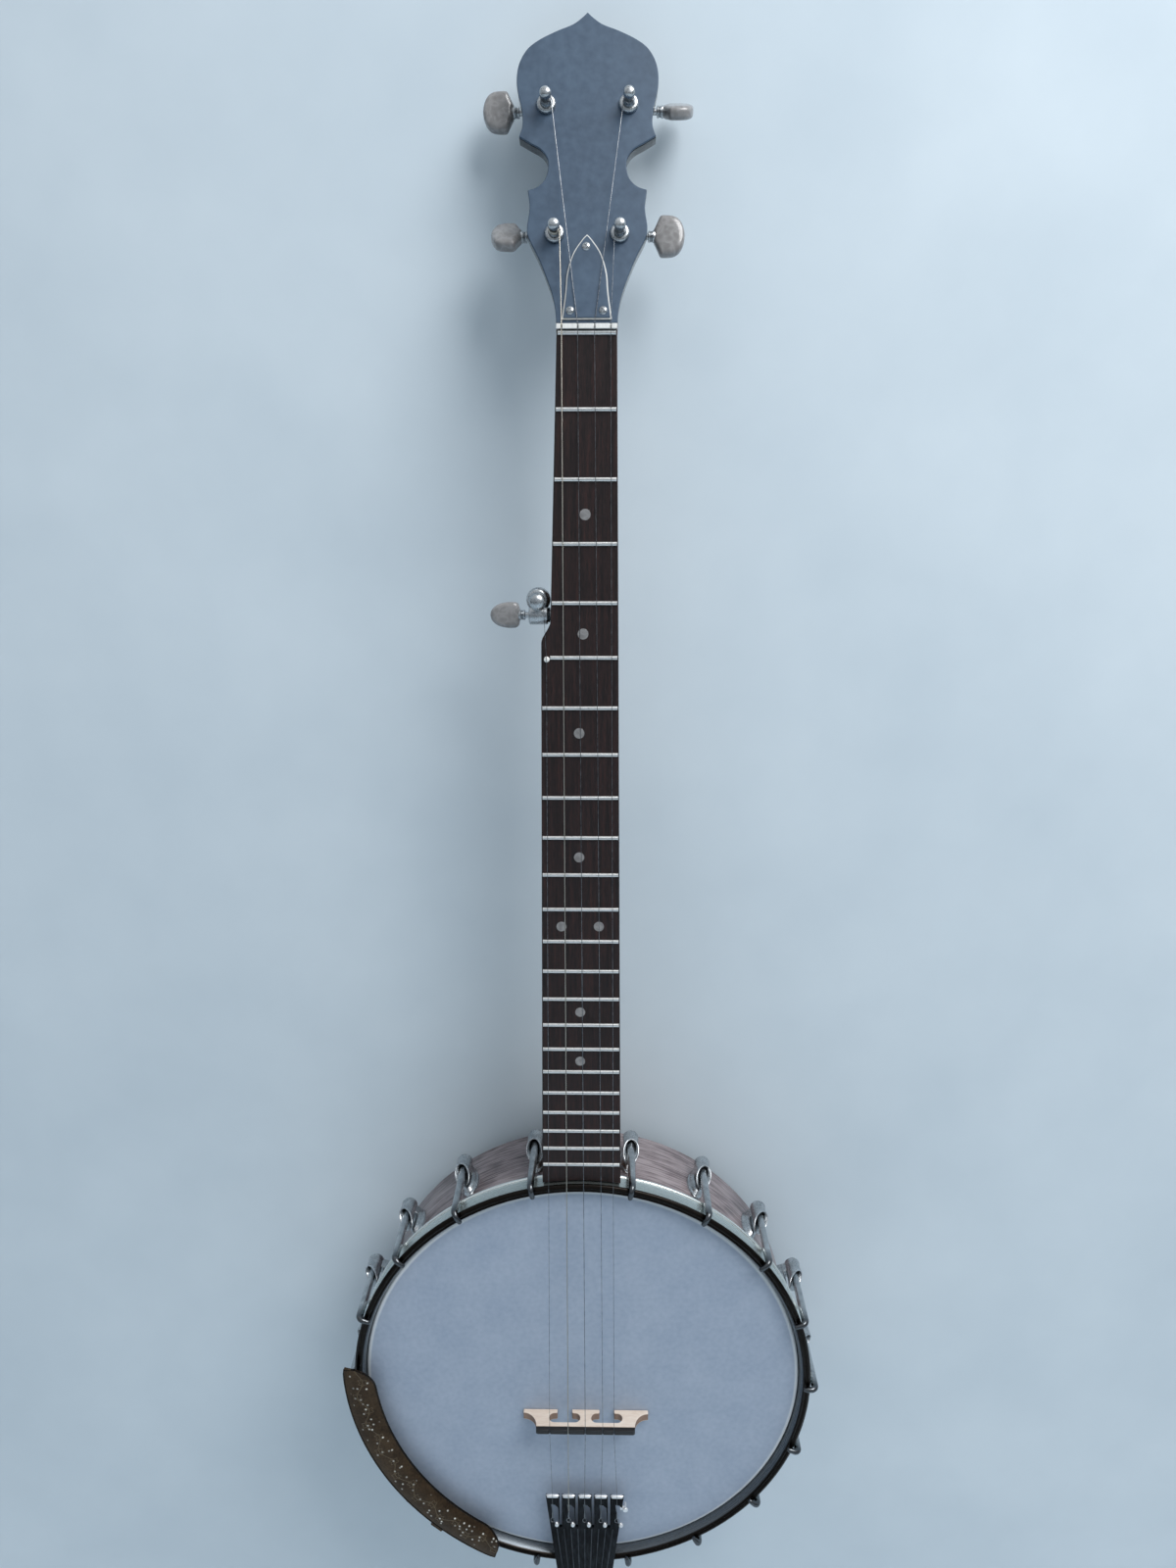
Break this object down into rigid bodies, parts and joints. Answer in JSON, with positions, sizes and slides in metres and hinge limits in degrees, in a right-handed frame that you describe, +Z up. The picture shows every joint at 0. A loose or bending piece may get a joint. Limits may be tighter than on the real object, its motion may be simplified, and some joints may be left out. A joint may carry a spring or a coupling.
{
  "type": "five-string banjo",
  "caption": "Open-back five-string banjo with a hooked tension hoop, geared tuners, a fingered tailpiece, an armrest and a maple bridge.",
  "frame": {"origin": "on the line between the two prongs of a wall hanger, under the headstock's flare and behind its face, on the pot's middle plane", "axes": "+X to the viewer's right when the head faces the viewer, +Y from the head towards the open back, +Z up the neck towards the headstock; the head is upright in the XZ plane"},
  "size_m": [0.3128, 0.0915, 0.9514],
  "materials": {
    "neck_maple": "stained satin maple",
    "rim_stained_maple": "stained satin maple, metal shoes bolted on",
    "rosewood": "oiled",
    "black_lacquer": "semi-gloss black lacquer",
    "bone": "polished off-white",
    "brass": "machined",
    "steel": "machined",
    "nickel_plate": "bright nickel plate",
    "chrome_plate": "bright chrome plate",
    "pearloid": "pearl-effect polished plastic",
    "head_film": "satin-coated clear-blue polyester film",
    "bridge_maple": "bare maple",
    "ebony": "polished ebony",
    "armrest_bronze": "dark bronze plate",
    "string_steel": "bright plain and wound steel"
  },
  "bodies": {
    "instrument": {"neck": "neck_maple", "fingerboard": "rosewood", "headstock_overlay": "black_lacquer", "truss_rod_cover": "black_lacquer", "nut": "bone", "fifth_string_pip": "bone", "truss_rod": "steel", "truss_rod_nut": "brass", "coordinator_rod": "steel", "coordinator_rod_nut": "nickel_plate", "rim": "rim_stained_maple", "head": "head_film", "tension_hoop": "chrome_plate", "tailpiece": "chrome_plate", "armrest": "armrest_bronze", "bridge_base": "bridge_maple", "bridge_saddle": "ebony", "fifth_tuner_housing": "nickel_plate", "first_tuner_housing": "nickel_plate", "first_tuner_bushing": "nickel_plate", "second_tuner_housing": "nickel_plate", "second_tuner_bushing": "nickel_plate", "third_tuner_housing": "nickel_plate", "third_tuner_bushing": "nickel_plate", "fourth_tuner_housing": "nickel_plate", "fourth_tuner_bushing": "nickel_plate", "first_string": "string_steel", "second_string": "string_steel", "third_string": "string_steel", "fourth_string": "string_steel", "fifth_string": "string_steel", "hook_left_1": "nickel_plate", "hook_left_2": "nickel_plate", "hook_left_3": "nickel_plate", "hook_left_4": "nickel_plate", "hook_left_5": "nickel_plate", "hook_left_6": "nickel_plate", "hook_left_7": "nickel_plate", "hook_left_8": "nickel_plate", "hook_left_9": "nickel_plate", "hook_right_1": "nickel_plate", "hook_right_2": "nickel_plate", "hook_right_3": "nickel_plate", "hook_right_4": "nickel_plate", "hook_right_5": "nickel_plate", "hook_right_6": "nickel_plate", "hook_right_7": "nickel_plate", "hook_right_8": "nickel_plate", "hook_right_9": "nickel_plate"},
    "first_tuner_button": {"first_tuner_button": "pearloid"},
    "first_tuner_post": {"first_tuner_post": "nickel_plate"},
    "second_tuner_button": {"second_tuner_button": "pearloid"},
    "second_tuner_post": {"second_tuner_post": "nickel_plate"},
    "third_tuner_button": {"third_tuner_button": "pearloid"},
    "third_tuner_post": {"third_tuner_post": "nickel_plate"},
    "fourth_tuner_button": {"fourth_tuner_button": "pearloid"},
    "fourth_tuner_post": {"fourth_tuner_post": "nickel_plate"},
    "fifth_tuner_button": {"fifth_tuner_button": "pearloid"},
    "fifth_tuner_post": {"fifth_tuner_post": "nickel_plate"}
  },
  "joints": [
    {"name": "first_tuner_button_spin", "type": "hinge", "parent": "instrument", "child": "first_tuner_button", "pos_m": [0.0206, 0.01935, 0.02678], "axis": [1, 0, 0], "continuous": true},
    {"name": "first_tuner_post_spin", "type": "hinge", "parent": "instrument", "child": "first_tuner_post", "pos_m": [0.0206, 0.01728, 0.01884], "axis": [0, 0.9675, -0.2529], "continuous": true},
    {"name": "second_tuner_button_spin", "type": "hinge", "parent": "instrument", "child": "second_tuner_button", "pos_m": [0.025, 0.03609, 0.09082], "axis": [1, 0, 0], "continuous": true},
    {"name": "second_tuner_post_spin", "type": "hinge", "parent": "instrument", "child": "second_tuner_post", "pos_m": [0.025, 0.03402, 0.08289], "axis": [0, 0.9675, -0.2529], "continuous": true},
    {"name": "third_tuner_button_spin", "type": "hinge", "parent": "instrument", "child": "third_tuner_button", "pos_m": [-0.0174, 0.03609, 0.09082], "axis": [1, 0, 0], "continuous": true},
    {"name": "third_tuner_post_spin", "type": "hinge", "parent": "instrument", "child": "third_tuner_post", "pos_m": [-0.0174, 0.03402, 0.08289], "axis": [0, 0.9675, -0.2529], "continuous": true},
    {"name": "fourth_tuner_button_spin", "type": "hinge", "parent": "instrument", "child": "fourth_tuner_button", "pos_m": [-0.013, 0.01935, 0.02678], "axis": [1, 0, 0], "continuous": true},
    {"name": "fourth_tuner_post_spin", "type": "hinge", "parent": "instrument", "child": "fourth_tuner_post", "pos_m": [-0.013, 0.01728, 0.01884], "axis": [0, 0.9675, -0.2529], "continuous": true},
    {"name": "fifth_tuner_button_spin", "type": "hinge", "parent": "instrument", "child": "fifth_tuner_button", "pos_m": [-0.0232, -0.00915, -0.17014], "axis": [-1, 0, 0], "continuous": true},
    {"name": "fifth_tuner_post_spin", "type": "hinge", "parent": "instrument", "child": "fifth_tuner_post", "pos_m": [-0.0232, -0.00891, -0.16177], "axis": [0, 0.9996, -0.0288], "continuous": true}
  ],
  "couplings": [
    {"joint": "first_tuner_post_spin", "follows": "first_tuner_button_spin", "ratio": -0.071429},
    {"joint": "second_tuner_post_spin", "follows": "second_tuner_button_spin", "ratio": -0.071429},
    {"joint": "third_tuner_post_spin", "follows": "third_tuner_button_spin", "ratio": -0.071429},
    {"joint": "fourth_tuner_post_spin", "follows": "fourth_tuner_button_spin", "ratio": -0.071429},
    {"joint": "fifth_tuner_post_spin", "follows": "fifth_tuner_button_spin", "ratio": -0.076923}
  ]
}
